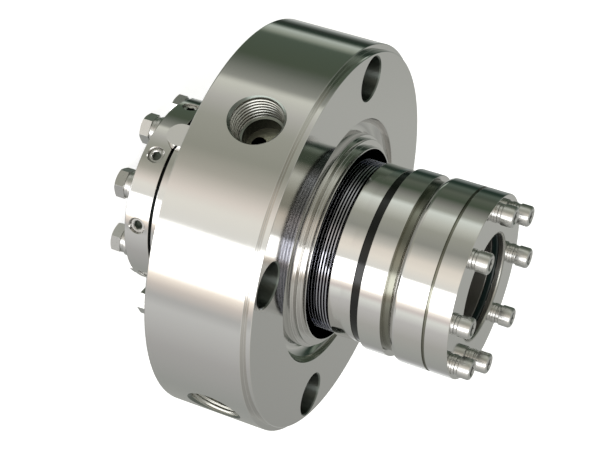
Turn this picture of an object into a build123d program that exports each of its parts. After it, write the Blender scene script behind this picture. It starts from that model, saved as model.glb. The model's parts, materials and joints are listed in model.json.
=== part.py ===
from build123d import *
import os
from math import cos, radians, sin

# A double-ended cartridge mechanical seal for a 50 mm shaft, in millimetres.
# The origin is on the shaft axis, in the gland's raised mounting face. +Z runs along the shaft
# towards the inboard end. Names ending in _z are heights from the mounting face, names ending
# in _d are diameters, and names ending in _deg are angles about the shaft from +X. Steps, walls,
# insets and plays across the shaft are radial.

os.makedirs("parts", exist_ok=True)

# Every piece is sized from the shaft outward and from the mounting face along the shaft, by named
# walls, steps and clearances, so that another shaft size carries the whole seal with it.

# Clearances
seat_gap = 0.05          # between a bore and what is pushed into or onto it
running_gap = 0.05       # between the two lapped faces of each seal
bolt_gap = 0.3           # between a bolt's shank and its clearance hole
o_ring_gap = 0.03        # between a rubber ring and its groove
cut_past = 1.0           # how far a cut runs past the solid that it opens

# Shaft sleeve
shaft_d = 50.0
sleeve_wall = 4.0
sleeve_reach = 1.0       # past the drive collar's back face
sleeve_d = shaft_d + 2 * sleeve_wall

# Edge-welded bellows
bellows_pitch = 1.46
bellows_count = 7
bellows_start_z = 2.51
bellows_play = 4.2
bellows_width = 8.2
leaf_thickness = 0.28
tip_bead = 0.25
bellows_root_d = sleeve_d + 2 * bellows_play
bellows_tip_d = bellows_root_d + 2 * bellows_width
bellows_end_z = bellows_start_z + bellows_count * bellows_pitch

# Face holder and stationary face
face_play = 4.0
face_width = 8.6
face_height = 4.06
holder_proud = 0.66
holder_length = 11.0
holder_lip_width = 2.2
holder_lip_length = 0.97
face_bore_d = sleeve_d + 2 * face_play
stationary_face_d = face_bore_d + 2 * face_width
holder_d = stationary_face_d + 2 * holder_proud
holder_lip_d = face_bore_d + 2 * holder_lip_width
holder_rear_z = bellows_end_z + holder_lip_length
holder_front_z = holder_rear_z + holder_length
face_contact_z = holder_front_z + face_height

# Mating ring
mating_ring_play = 2.0
mating_ring_width = 7.5
mating_ring_length = 7.3
mating_step_width = 2.6
mating_step_height = 2.8
drive_notch_depth = 2.4
drive_notch_reach = 4.0
mating_ring_bore_d = sleeve_d + 2 * mating_ring_play
mating_ring_d = mating_ring_bore_d + 2 * mating_ring_width
mating_step_d = mating_ring_d - 2 * mating_step_width
mating_rear_z = face_contact_z + running_gap + mating_ring_length
drive_notch_end_r = mating_ring_bore_d / 2 + drive_notch_reach

# Rotating barrel
ring_holder_wall = 5.35
ring_holder_gap = 0.2
ring_holder_length = 11.19
neck_step = 2.85
neck_length = 3.25
foot_step = 1.3
foot_length = 2.4
foot_rise = 2.1
barrel_length = 14.9
joint_gap = 1.2
joint_depth = 1.55
cover_length = 11.05
end_lip = 3.2
end_play = 0.5
packing_length = 3.25
ring_holder_d = mating_ring_d + 2 * ring_holder_wall
ring_holder_front_z = face_contact_z + ring_holder_gap
pocket_floor_z = mating_rear_z + seat_gap
neck_d = ring_holder_d - 2 * neck_step
neck_rear_z = ring_holder_front_z + ring_holder_length
neck_front_z = neck_rear_z + neck_length
barrel_foot_d = neck_d + 2 * foot_step
barrel_foot_z = neck_front_z + foot_length
barrel_d = barrel_foot_d + 2 * foot_rise
joint_z = barrel_foot_z + barrel_length
joint_floor_d = barrel_d - 2 * joint_depth
cover_rear_z = joint_z + joint_gap
barrel_end_z = cover_rear_z + cover_length
end_bore_d = shaft_d + 2 * end_play
sleeve_inboard_z = barrel_end_z - end_lip - packing_length

# Drive pins between the sleeve's shoulder and the mating ring
drive_pin_d = 3.0
drive_pin_count = 2
drive_pin_depth = 3.5
drive_pin_inset = 2.2
drive_pin_circle_d = mating_ring_bore_d + 2 * drive_pin_inset

# Cap screws through the end cover
cap_screw_count = 8
cap_screw_deg = 23.6
cap_screw_d = 6.0
cap_screw_inset = 5.7
cap_screw_grip = 12.0
cap_screw_head_d = 10.0
cap_screw_head_height = 6.0
cap_screw_key = 5.0
cap_screw_key_depth = 3.2
cap_washer_d = 9.6
cap_washer_thickness = 1.2
cap_lock_washer_d = 9.0
cap_lock_washer_thickness = 1.6
cap_screw_circle_d = barrel_d - 2 * cap_screw_inset

# Gland, mounting side
bolt_hole_d = 21.0
bolt_hole_chamfer = 0.6
bolt_count = 4
bolt_deg = 13.9
bolt_inner_land = 9.5
bolt_outer_land = 1.6
rim_step_height = 3.45
rim_step_width = 2.9
recess_width = 7.8
recess_depth = 7.0
recess_floor_width = 1.8
spigot_drop = 0.3
pilot_step = 1.7
pilot_height = 2.2
nose_step = 3.1
nose_height = 4.94
nose_wall = 0.8
chamber_play = 5.2
chamber_depth = 22.0
chamber_d = bellows_tip_d + 2 * chamber_play
nose_d = chamber_d + 2 * nose_wall
pilot_d = nose_d + 2 * nose_step
spigot_d = pilot_d + 2 * pilot_step
recess_d = spigot_d + 2 * recess_width
bolt_circle_d = recess_d + bolt_hole_d + 2 * bolt_inner_land
gland_d = bolt_circle_d + bolt_hole_d + 2 * (bolt_outer_land + rim_step_width)

# Inboard bellows adapter
adapter_flange = 8.0
adapter_play = 3.6
adapter_wall = 2.9
adapter_pin_d = 3.0
adapter_pin_length = 10.0
adapter_pin_inset = 5.6
adapter_groove_depth = 2.7
adapter_groove_width = 3.4
adapter_groove_height = 4.6
adapter_bore_d = sleeve_d + 2 * adapter_play
adapter_neck_d = adapter_bore_d + 2 * adapter_wall
adapter_pin_circle_d = chamber_d - 2 * adapter_pin_inset
adapter_groove_d = chamber_d - 2 * adapter_groove_depth
adapter_groove_mid_z = adapter_groove_height - chamber_depth

# Gland, outboard side
gland_thickness = 51.3
web_play = 5.0
web_thickness = 22.0
boss_wall = 2.4
boss_gap = 1.6           # between the boss's end and the drive collar
web_bore_d = sleeve_d + 2 * web_play
web_back_z = -chamber_depth - web_thickness
gland_back_z = -gland_thickness

# Outboard sealing faces
lock_pin_d = 2.5
lock_pin_inset = 1.6
lock_pin_seat = 6.0
lock_pin_reach = 9.5
outboard_spring_play = 0.3
outboard_spring_offset = 1.5
outboard_spring_width = 1.9
outboard_spring_length = 6.0
outboard_stator_length = 12.0
stator_groove_depth = 2.55
stator_groove_width = 3.2
stator_groove_height = 3.6
lock_notch_depth = 5.5
lock_notch_width = 3.1
lock_notch_reach = 1.8
outboard_ring_play = 2.0
outboard_ring_step = 0.9
outboard_ring_proud = 2.0
outboard_ring_pocket = 5.0
outboard_carrier_wall = 4.5
outboard_carrier_play = 0.5
outboard_carrier_length = 14.2
lock_pin_circle_d = web_bore_d + 2 * lock_pin_inset
outboard_spring_bore_d = lock_pin_circle_d + 2 * outboard_spring_offset
outboard_spring_d = outboard_spring_bore_d + 2 * outboard_spring_width
guide_d = outboard_spring_d + 2 * outboard_spring_play
outboard_stator_d = guide_d - 2 * seat_gap
stator_groove_d = outboard_stator_d - 2 * stator_groove_depth
lock_notch_end_r = lock_pin_circle_d / 2 + lock_notch_reach
outboard_ring_bore_d = sleeve_d + 2 * outboard_ring_play
outboard_ring_d = guide_d - 2 * outboard_ring_step
outboard_carrier_d = outboard_ring_d + 2 * outboard_carrier_wall
boss_bore_d = outboard_carrier_d + 2 * outboard_carrier_play
boss_d = boss_bore_d + 2 * boss_wall
outboard_stator_rear_z = web_back_z - outboard_spring_length
outboard_contact_z = outboard_stator_rear_z - outboard_stator_length
guide_end_z = outboard_contact_z
stator_groove_mid_z = outboard_contact_z + stator_groove_height
outboard_carrier_front_z = outboard_contact_z - outboard_ring_proud
outboard_pocket_z = outboard_carrier_front_z - outboard_ring_pocket

# Drive collar
collar_drop = 0.5        # from the boss's surface down to the collar's
collar_length = 12.8
collar_d = boss_d - 2 * collar_drop
collar_front_z = outboard_carrier_front_z - outboard_carrier_length
collar_back_z = collar_front_z - collar_length
boss_end_z = collar_front_z + boss_gap
sleeve_outboard_z = collar_back_z - sleeve_reach

# Set screws, hexagon bolts and their washers
set_screw_count = 8
set_screw_deg = 22.5
set_screw_d = 8.0
set_screw_sink = 1.0
set_screw_inset = 6.2
set_screw_key = 4.0
set_screw_key_depth = 3.0
hex_bolt_count = 8
hex_bolt_d = 8.0
hex_bolt_inset = 7.3
hex_bolt_grip = 8.0
hex_bolt_across_flats = 13.0
hex_bolt_head_height = 5.3
bolt_washer_d = 14.4
bolt_washer_thickness = 1.6
bolt_spring_washer_d = 12.8
bolt_spring_washer_thickness = 2.1
bolt_spring_washer_slit = 1.2
set_screw_z = collar_front_z - set_screw_inset
hex_bolt_circle_d = collar_d - 2 * hex_bolt_inset

# Flushing ports
port_angles_deg = (239.3, 335.0)
port_offset = 2.0        # from the chamber's floor
port_d = 18.8
port_mouth_d = 26.8
port_depth = 22.0
passage_d = 7.0
passage_offset = 3.5
port_z = -chamber_depth - port_offset
passage_z = port_z - passage_offset

# Blanking plug in the gland's back face
plug_deg = 301.5
plug_offset = 3.0        # outward from the bolt circle
plug_across_flats = 11.3
plug_collar_d = 13.0
plug_collar_height = 1.2
plug_head_height = 5.5
plug_thread_d = 8.0
plug_thread_length = 9.0
plug_circle_d = bolt_circle_d + 2 * plug_offset

# Setting clips on the boss
clip_count = 3
clip_deg = 233.5
clip_width = 12.6
clip_height = 3.5
clip_lap = 5.9           # past the boss's end, over the collar
clip_inset = 1.7         # from the gland's back face
clip_screw_inset = 4.2
clip_screw_d = 4.0
clip_screw_head_d = 7.0
clip_screw_head_height = 2.2
clip_screw_length = 5.0
clip_outboard_z = boss_end_z - clip_lap
clip_inboard_z = gland_back_z - clip_inset
clip_screw_z = clip_inboard_z - clip_screw_inset

# Radii used below
shaft_r = shaft_d / 2
sleeve_r = sleeve_d / 2
on_sleeve_r = sleeve_r + seat_gap
barrel_r = barrel_d / 2
boss_r = boss_d / 2
collar_r = collar_d / 2
chamber_r = chamber_d / 2
clip_top_r = boss_r + clip_height


def radial_plane(angle_deg, radius, height):
    """A plane facing outward at an angle, a radius and a height about the shaft."""
    along = radians(angle_deg)
    return Plane(
        origin=(radius * cos(along), radius * sin(along), height),
        x_dir=(-sin(along), cos(along), 0),
        z_dir=(cos(along), sin(along), 0),
    )


def evenly(count, first_deg):
    """The angles of a number of places spread evenly round the shaft."""
    return [first_deg + place * 360 / count for place in range(count)]


def rubber_ring(inner_r, outer_r, height):
    """A round-section ring that just fills the space between two radii."""
    section_r = (outer_r - inner_r) / 2 - o_ring_gap
    with BuildPart() as ring:
        with BuildSketch(Plane.XZ):
            with Locations(((inner_r + outer_r) / 2, height)):
                Circle(section_r)
        revolve(axis=Axis.Z)
    return ring


def finish(piece, name):
    """Labels a finished piece and writes its file."""
    piece.part.label = name
    export_step(piece.part, f"parts/{name}.step")


# Gland: the stationary body, with its mounting face, bowl, stepped nose and outboard boss.
bowl_foot_r = spigot_d / 2 + recess_floor_width
with BuildPart() as gland:
    with BuildSketch(Plane.XZ):
        with BuildLine():
            bowl = TangentArc(
                (bowl_foot_r, -recess_depth), (recess_d / 2, 0), tangent=(1, 0)
            )
            Polyline(
                bowl @ 1,
                (gland_d / 2 - rim_step_width, 0),
                (gland_d / 2 - rim_step_width, -rim_step_height),
                (gland_d / 2, -rim_step_height),
                (gland_d / 2, gland_back_z),
                (boss_r, gland_back_z),
                (boss_r, boss_end_z),
                (boss_bore_d / 2, boss_end_z),
                (boss_bore_d / 2, guide_end_z),
                (guide_d / 2, guide_end_z),
                (guide_d / 2, web_back_z),
                (web_bore_d / 2, web_back_z),
                (web_bore_d / 2, -chamber_depth),
                (chamber_r, -chamber_depth),
                (chamber_r, nose_height),
                (nose_d / 2, nose_height),
                (nose_d / 2, pilot_height),
                (pilot_d / 2, pilot_height),
                (pilot_d / 2, -spigot_drop),
                (spigot_d / 2, -spigot_drop),
                (spigot_d / 2, -recess_depth),
                bowl @ 0,
            )
        make_face()
    revolve(axis=Axis.Z)
    with PolarLocations(bolt_circle_d / 2, bolt_count, start_angle=bolt_deg):
        CounterSinkHole(
            bolt_hole_d / 2,
            bolt_hole_d / 2 + bolt_hole_chamfer,
            depth=gland_thickness + cut_past,
            counter_sink_angle=90,
        )
    for angle in port_angles_deg:
        with Locations(radial_plane(angle, gland_d / 2, port_z)):
            CounterSinkHole(
                port_d / 2, port_mouth_d / 2, depth=port_depth, counter_sink_angle=90
            )
        with BuildSketch(radial_plane(angle, web_bore_d / 2 - cut_past, passage_z)):
            Circle(passage_d / 2)
        extrude(amount=(gland_d - web_bore_d) / 2 - port_depth + 2 * cut_past, mode=Mode.SUBTRACT)
    with BuildSketch(Plane.XY.offset(gland_back_z)):
        with PolarLocations(plug_circle_d / 2, 1, start_angle=plug_deg):
            Circle(plug_thread_d / 2 + seat_gap)
    extrude(amount=plug_thread_length + cut_past, mode=Mode.SUBTRACT)
    with BuildSketch(Plane.XY.offset(-chamber_depth)):
        with PolarLocations(adapter_pin_circle_d / 2, 1):
            Circle(adapter_pin_d / 2 + seat_gap)
    extrude(amount=-adapter_pin_length / 2 - cut_past, mode=Mode.SUBTRACT)
    with BuildSketch(Plane.XY.offset(web_back_z)):
        with PolarLocations(lock_pin_circle_d / 2, 2):
            Circle(lock_pin_d / 2 + seat_gap)
    extrude(amount=lock_pin_seat, mode=Mode.SUBTRACT)
    for angle in evenly(clip_count, clip_deg):
        with BuildSketch(radial_plane(angle, boss_r + cut_past, clip_screw_z)):
            Circle(clip_screw_d / 2 + seat_gap)
        extrude(amount=-clip_screw_length - cut_past, mode=Mode.SUBTRACT)
finish(gland, "gland")

# Blanking plug: a hexagon head on a round collar, screwed into the gland's back face.
with BuildPart() as rear_plug:
    with BuildSketch(Plane.XY.offset(gland_back_z)):
        with PolarLocations(plug_circle_d / 2, 1, start_angle=plug_deg):
            Circle(plug_collar_d / 2)
    extrude(amount=-plug_collar_height)
    with BuildSketch(Plane.XY.offset(gland_back_z - plug_collar_height)):
        with PolarLocations(plug_circle_d / 2, 1, start_angle=plug_deg):
            RegularPolygon(plug_across_flats / 2, 6, major_radius=False)
    extrude(amount=-plug_head_height)
    with BuildSketch(Plane.XY.offset(gland_back_z)):
        with PolarLocations(plug_circle_d / 2, 1, start_angle=plug_deg):
            Circle(plug_thread_d / 2)
    extrude(amount=plug_thread_length)
finish(rear_plug, "rear_plug")

# Inboard adapter: sits in the gland's chamber and carries the bellows on its neck.
with BuildPart() as inboard_adapter:
    with BuildSketch(Plane.XZ):
        with BuildLine():
            Polyline(
                (adapter_bore_d / 2, -chamber_depth),
                (chamber_r - seat_gap, -chamber_depth),
                (chamber_r - seat_gap, adapter_groove_mid_z - adapter_groove_width / 2),
                (adapter_groove_d / 2, adapter_groove_mid_z - adapter_groove_width / 2),
                (adapter_groove_d / 2, adapter_groove_mid_z + adapter_groove_width / 2),
                (chamber_r - seat_gap, adapter_groove_mid_z + adapter_groove_width / 2),
                (chamber_r - seat_gap, -chamber_depth + adapter_flange),
                (adapter_neck_d / 2, -chamber_depth + adapter_flange),
                (adapter_neck_d / 2, bellows_start_z),
                (adapter_bore_d / 2, bellows_start_z),
                close=True,
            )
        make_face()
    revolve(axis=Axis.Z)
    with BuildSketch(Plane.XY.offset(-chamber_depth)):
        with PolarLocations(adapter_pin_circle_d / 2, 1):
            Circle(adapter_pin_d / 2 + seat_gap)
    extrude(amount=adapter_pin_length / 2 + cut_past, mode=Mode.SUBTRACT)
finish(inboard_adapter, "inboard_adapter")

with BuildPart() as adapter_pin:
    with BuildSketch(Plane.XY.offset(-chamber_depth - adapter_pin_length / 2)):
        with PolarLocations(adapter_pin_circle_d / 2, 1):
            Circle(adapter_pin_d / 2)
    extrude(amount=adapter_pin_length)
finish(adapter_pin, "adapter_pin")

adapter_o_ring = rubber_ring(adapter_groove_d / 2, chamber_r, adapter_groove_mid_z)
finish(adapter_o_ring, "adapter_o_ring")

# Edge-welded bellows: pairs of thin dished leaves, joined by a weld bead at each outer tip and
# at each inner root. A leaf rises half a pitch between its root and its tip.
root_r = bellows_root_d / 2
tip_r = bellows_tip_d / 2
leaf_slope = (bellows_pitch / 2) / (tip_r - root_r)
weld_depth = leaf_thickness / 2 / leaf_slope
outer_edge = [(root_r + weld_depth, bellows_start_z)]
inner_edge = [(root_r, bellows_start_z)]
for turn in range(bellows_count):
    root_z = bellows_start_z + turn * bellows_pitch
    tip_z = root_z + bellows_pitch / 2
    outer_edge.append((tip_r, tip_z - tip_bead / 2))
    outer_edge.append((tip_r, tip_z + tip_bead / 2))
    outer_edge.append((root_r + weld_depth, root_z + bellows_pitch))
    inner_edge.append((tip_r - weld_depth, tip_z))
    inner_edge.append((root_r, root_z + bellows_pitch))
with BuildPart() as bellows:
    with BuildSketch(Plane.XZ):
        with BuildLine():
            Polyline(*outer_edge, *reversed(inner_edge), close=True)
        make_face()
    revolve(axis=Axis.Z)
finish(bellows, "bellows")

# Face holder: welded to the bellows by a short lip, and carries the stationary face.
with BuildPart() as face_holder:
    with BuildSketch(Plane.XZ):
        with BuildLine():
            Polyline(
                (face_bore_d / 2, bellows_end_z),
                (holder_lip_d / 2, bellows_end_z),
                (holder_lip_d / 2, holder_rear_z),
                (holder_d / 2, holder_rear_z),
                (holder_d / 2, holder_front_z),
                (face_bore_d / 2, holder_front_z),
                close=True,
            )
        make_face()
    revolve(axis=Axis.Z)
finish(face_holder, "face_holder")

with BuildPart() as stationary_face:
    with BuildSketch(Plane.XY.offset(holder_front_z)):
        Circle(stationary_face_d / 2)
        Circle(face_bore_d / 2, mode=Mode.SUBTRACT)
    extrude(amount=face_contact_z - holder_front_z)
finish(stationary_face, "stationary_face")

# Mating ring: the rotating hard face, driven by pins in its two rear notches.
drive_notch_inner_r = mating_ring_bore_d / 2 - 2 * cut_past
drive_notch_width = drive_pin_d + 2 * bolt_gap
with BuildPart() as mating_ring:
    with BuildSketch(Plane.XZ):
        with BuildLine():
            Polyline(
                (mating_ring_bore_d / 2, face_contact_z + running_gap),
                (mating_ring_d / 2, face_contact_z + running_gap),
                (mating_ring_d / 2, mating_rear_z - mating_step_height),
                (mating_step_d / 2, mating_rear_z - mating_step_height),
                (mating_step_d / 2, mating_rear_z),
                (mating_ring_bore_d / 2, mating_rear_z),
                close=True,
            )
        make_face()
    revolve(axis=Axis.Z)
    with BuildSketch(Plane.XY.offset(mating_rear_z)):
        with PolarLocations((drive_notch_inner_r + drive_notch_end_r) / 2, drive_pin_count):
            Rectangle(drive_notch_end_r - drive_notch_inner_r, drive_notch_width)
    extrude(amount=-drive_notch_depth, mode=Mode.SUBTRACT)
finish(mating_ring, "mating_ring")

mating_o_ring = rubber_ring(
    mating_step_d / 2, mating_ring_d / 2 + seat_gap, mating_rear_z - mating_step_height / 2
)
finish(mating_o_ring, "mating_o_ring")

# Ring holder: a cup that takes the mating ring and turns with the sleeve.
with BuildPart() as ring_holder:
    with BuildSketch(Plane.XZ):
        with BuildLine():
            Polyline(
                (mating_ring_d / 2 + seat_gap, ring_holder_front_z),
                (ring_holder_d / 2, ring_holder_front_z),
                (ring_holder_d / 2, neck_rear_z),
                (on_sleeve_r, neck_rear_z),
                (on_sleeve_r, pocket_floor_z),
                (mating_ring_d / 2 + seat_gap, pocket_floor_z),
                close=True,
            )
        make_face()
    revolve(axis=Axis.Z)
    with BuildSketch(Plane.XY.offset(neck_rear_z)):
        with PolarLocations(drive_pin_circle_d / 2, drive_pin_count):
            Circle(drive_pin_d / 2 + seat_gap)
    extrude(amount=pocket_floor_z - neck_rear_z, mode=Mode.SUBTRACT)
finish(ring_holder, "ring_holder")

# Drive pins: from the sleeve's shoulder, through the holder's web, into the mating ring.
drive_pin_front_z = mating_rear_z - drive_notch_depth + bolt_gap
drive_pin_length = neck_rear_z + drive_pin_depth - drive_pin_front_z
with BuildPart() as drive_pins:
    with BuildSketch(Plane.XY.offset(drive_pin_front_z)):
        with PolarLocations(drive_pin_circle_d / 2, drive_pin_count):
            Circle(drive_pin_d / 2)
    extrude(amount=drive_pin_length)
finish(drive_pins, "drive_pins")

# Shaft sleeve: one turned piece with the barrel's neck and body on its inboard end.
with BuildPart() as shaft_sleeve:
    with BuildSketch(Plane.XZ):
        with BuildLine():
            Polyline(
                (shaft_r, sleeve_outboard_z),
                (sleeve_r, sleeve_outboard_z),
                (sleeve_r, neck_rear_z),
                (neck_d / 2, neck_rear_z),
                (neck_d / 2, neck_front_z),
                (barrel_foot_d / 2, neck_front_z),
                (barrel_r, barrel_foot_z),
                (barrel_r, joint_z),
                (joint_floor_d / 2, joint_z),
                (joint_floor_d / 2, cover_rear_z),
                (sleeve_r, cover_rear_z),
                (sleeve_r, sleeve_inboard_z),
                (shaft_r, sleeve_inboard_z),
                close=True,
            )
        make_face()
    revolve(axis=Axis.Z)
    with BuildSketch(Plane.XY.offset(cover_rear_z)):
        with PolarLocations(cap_screw_circle_d / 2, cap_screw_count, start_angle=cap_screw_deg):
            Circle(cap_screw_d / 2 + seat_gap)
    extrude(amount=-cap_screw_grip - cut_past, mode=Mode.SUBTRACT)
    with BuildSketch(Plane.XY.offset(neck_rear_z)):
        with PolarLocations(drive_pin_circle_d / 2, drive_pin_count):
            Circle(drive_pin_d / 2 + seat_gap)
    extrude(amount=drive_pin_depth, mode=Mode.SUBTRACT)
finish(shaft_sleeve, "shaft_sleeve")

# End cover: closes the barrel and squeezes the shaft packing against the sleeve's end.
with BuildPart() as end_cover:
    with BuildSketch(Plane.XZ):
        with BuildLine():
            Polyline(
                (on_sleeve_r, cover_rear_z),
                (barrel_r, cover_rear_z),
                (barrel_r, barrel_end_z),
                (end_bore_d / 2, barrel_end_z),
                (end_bore_d / 2, barrel_end_z - end_lip),
                (on_sleeve_r, barrel_end_z - end_lip),
                close=True,
            )
        make_face()
    revolve(axis=Axis.Z)
    with BuildSketch(Plane.XY.offset(barrel_end_z)):
        with PolarLocations(cap_screw_circle_d / 2, cap_screw_count, start_angle=cap_screw_deg):
            Circle(cap_screw_d / 2 + bolt_gap)
    extrude(amount=cover_rear_z - barrel_end_z, mode=Mode.SUBTRACT)
finish(end_cover, "end_cover")

with BuildPart() as shaft_packing:
    with BuildSketch(Plane.XY.offset(sleeve_inboard_z)):
        Circle(sleeve_r)
        Circle(end_bore_d / 2, mode=Mode.SUBTRACT)
    extrude(amount=barrel_end_z - end_lip - sleeve_inboard_z)
finish(shaft_packing, "shaft_packing")

# Cap screws: socket heads, each on a plain and a lock washer, threaded into the barrel.
cap_lock_washer_z = barrel_end_z + cap_washer_thickness
cap_head_z = cap_lock_washer_z + cap_lock_washer_thickness
with BuildPart() as cap_washers:
    with BuildSketch(Plane.XY.offset(barrel_end_z)):
        with PolarLocations(cap_screw_circle_d / 2, cap_screw_count, cap_screw_deg):
            Circle(cap_washer_d / 2)
            Circle(cap_screw_d / 2 + bolt_gap, mode=Mode.SUBTRACT)
    extrude(amount=cap_washer_thickness)
finish(cap_washers, "cap_washers")

with BuildPart() as cap_lock_washers:
    with BuildSketch(Plane.XY.offset(cap_lock_washer_z)):
        with PolarLocations(cap_screw_circle_d / 2, cap_screw_count, cap_screw_deg):
            Circle(cap_lock_washer_d / 2)
            Circle(cap_screw_d / 2 + bolt_gap, mode=Mode.SUBTRACT)
    extrude(amount=cap_lock_washer_thickness)
finish(cap_lock_washers, "cap_lock_washers")

with BuildPart() as cap_screws:
    with BuildSketch(Plane.XY.offset(cover_rear_z - cap_screw_grip)):
        with PolarLocations(cap_screw_circle_d / 2, cap_screw_count, cap_screw_deg):
            Circle(cap_screw_d / 2)
    extrude(amount=cap_head_z - cover_rear_z + cap_screw_grip)
    with BuildSketch(Plane.XY.offset(cap_head_z)):
        with PolarLocations(cap_screw_circle_d / 2, cap_screw_count, cap_screw_deg):
            Circle(cap_screw_head_d / 2)
    extrude(amount=cap_screw_head_height)
    with BuildSketch(Plane.XY.offset(cap_head_z + cap_screw_head_height)):
        with PolarLocations(cap_screw_circle_d / 2, cap_screw_count, cap_screw_deg):
            RegularPolygon(cap_screw_key / 2, 6, major_radius=False)
    extrude(amount=-cap_screw_key_depth, mode=Mode.SUBTRACT)
finish(cap_screws, "cap_screws")

# Drive collar: clamps the outboard ring carrier and locks the sleeve to the shaft.
with BuildPart() as drive_collar:
    with BuildSketch(Plane.XY.offset(collar_back_z)):
        Circle(collar_r)
        Circle(on_sleeve_r, mode=Mode.SUBTRACT)
        with PolarLocations(hex_bolt_circle_d / 2, hex_bolt_count):
            Circle(hex_bolt_d / 2 + bolt_gap, mode=Mode.SUBTRACT)
    extrude(amount=collar_length)
    for angle in evenly(set_screw_count, set_screw_deg):
        with BuildSketch(radial_plane(angle, 0, set_screw_z)):
            Circle(set_screw_d / 2 + seat_gap)
        extrude(amount=collar_r + cut_past, mode=Mode.SUBTRACT)
finish(drive_collar, "drive_collar")

# Set screws: each bears on the sleeve and sits just below the collar's surface.
with BuildPart() as set_screws:
    for angle in evenly(set_screw_count, set_screw_deg):
        with BuildSketch(radial_plane(angle, on_sleeve_r, set_screw_z)):
            Circle(set_screw_d / 2)
        extrude(amount=collar_r - set_screw_sink - on_sleeve_r)
        with BuildSketch(radial_plane(angle, collar_r - set_screw_sink, set_screw_z)):
            RegularPolygon(set_screw_key / 2, 6, major_radius=False)
        extrude(amount=-set_screw_key_depth, mode=Mode.SUBTRACT)
finish(set_screws, "set_screws")

# Outboard ring carrier: runs inside the boss, bolted to the collar's front face.
with BuildPart() as outboard_ring_carrier:
    with BuildSketch(Plane.XY.offset(collar_front_z)):
        Circle(outboard_carrier_d / 2)
        Circle(on_sleeve_r, mode=Mode.SUBTRACT)
    extrude(amount=outboard_carrier_front_z - collar_front_z)
    with BuildSketch(Plane.XY.offset(outboard_pocket_z)):
        Circle(outboard_ring_d / 2 + seat_gap)
    extrude(amount=outboard_ring_pocket, mode=Mode.SUBTRACT)
    with BuildSketch(Plane.XY.offset(collar_front_z)):
        with PolarLocations(hex_bolt_circle_d / 2, hex_bolt_count):
            Circle(hex_bolt_d / 2 + seat_gap)
    extrude(amount=hex_bolt_grip + seat_gap, mode=Mode.SUBTRACT)
finish(outboard_ring_carrier, "outboard_ring_carrier")

with BuildPart() as outboard_rotating_ring:
    with BuildSketch(Plane.XY.offset(outboard_pocket_z)):
        Circle(outboard_ring_d / 2)
        Circle(outboard_ring_bore_d / 2, mode=Mode.SUBTRACT)
    extrude(amount=outboard_contact_z - running_gap - outboard_pocket_z)
finish(outboard_rotating_ring, "outboard_rotating_ring")

# Outboard stationary ring: slides in the gland's guide bore, held from turning by two pins.
lock_notch_inner_r = outboard_ring_bore_d / 2 - 2 * cut_past
with BuildPart() as outboard_stationary_ring:
    with BuildSketch(Plane.XZ):
        with BuildLine():
            Polyline(
                (outboard_ring_bore_d / 2, outboard_contact_z),
                (outboard_stator_d / 2, outboard_contact_z),
                (outboard_stator_d / 2, stator_groove_mid_z - stator_groove_width / 2),
                (stator_groove_d / 2, stator_groove_mid_z - stator_groove_width / 2),
                (stator_groove_d / 2, stator_groove_mid_z + stator_groove_width / 2),
                (outboard_stator_d / 2, stator_groove_mid_z + stator_groove_width / 2),
                (outboard_stator_d / 2, outboard_stator_rear_z),
                (outboard_ring_bore_d / 2, outboard_stator_rear_z),
                close=True,
            )
        make_face()
    revolve(axis=Axis.Z)
    with BuildSketch(Plane.XY.offset(outboard_stator_rear_z)):
        with PolarLocations((lock_notch_inner_r + lock_notch_end_r) / 2, 2):
            Rectangle(lock_notch_end_r - lock_notch_inner_r, lock_notch_width)
    extrude(amount=-lock_notch_depth, mode=Mode.SUBTRACT)
finish(outboard_stationary_ring, "outboard_stationary_ring")

stator_o_ring = rubber_ring(stator_groove_d / 2, guide_d / 2, stator_groove_mid_z)
finish(stator_o_ring, "stator_o_ring")

with BuildPart() as lock_pins:
    with BuildSketch(Plane.XY.offset(web_back_z + lock_pin_seat)):
        with PolarLocations(lock_pin_circle_d / 2, 2):
            Circle(lock_pin_d / 2)
    extrude(amount=-lock_pin_seat - lock_pin_reach)
finish(lock_pins, "lock_pins")

# Outboard spring: a ring between the gland's web and the stationary ring.
with BuildPart() as outboard_spring:
    with BuildSketch(Plane.XY.offset(outboard_stator_rear_z)):
        Circle(outboard_spring_d / 2)
        Circle(outboard_spring_bore_d / 2, mode=Mode.SUBTRACT)
    extrude(amount=web_back_z - outboard_stator_rear_z)
finish(outboard_spring, "outboard_spring")

# Hex bolts: each head bears on a spring washer and a plain washer on the collar's back face.
bolt_spring_washer_z = collar_back_z - bolt_washer_thickness
bolt_head_z = bolt_spring_washer_z - bolt_spring_washer_thickness
with BuildPart() as bolt_washers:
    with BuildSketch(Plane.XY.offset(collar_back_z)):
        with PolarLocations(hex_bolt_circle_d / 2, hex_bolt_count):
            Circle(bolt_washer_d / 2)
            Circle(hex_bolt_d / 2 + bolt_gap, mode=Mode.SUBTRACT)
    extrude(amount=-bolt_washer_thickness)
finish(bolt_washers, "bolt_washers")

with BuildPart() as bolt_spring_washers:
    with BuildSketch(Plane.XY.offset(bolt_spring_washer_z)):
        with PolarLocations(hex_bolt_circle_d / 2, hex_bolt_count):
            Circle(bolt_spring_washer_d / 2)
            Circle(hex_bolt_d / 2 + bolt_gap, mode=Mode.SUBTRACT)
        with PolarLocations(hex_bolt_circle_d / 2 - bolt_spring_washer_d / 2, hex_bolt_count):
            Rectangle(bolt_spring_washer_d / 2, bolt_spring_washer_slit, mode=Mode.SUBTRACT)
    extrude(amount=-bolt_spring_washer_thickness)
finish(bolt_spring_washers, "bolt_spring_washers")

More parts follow.
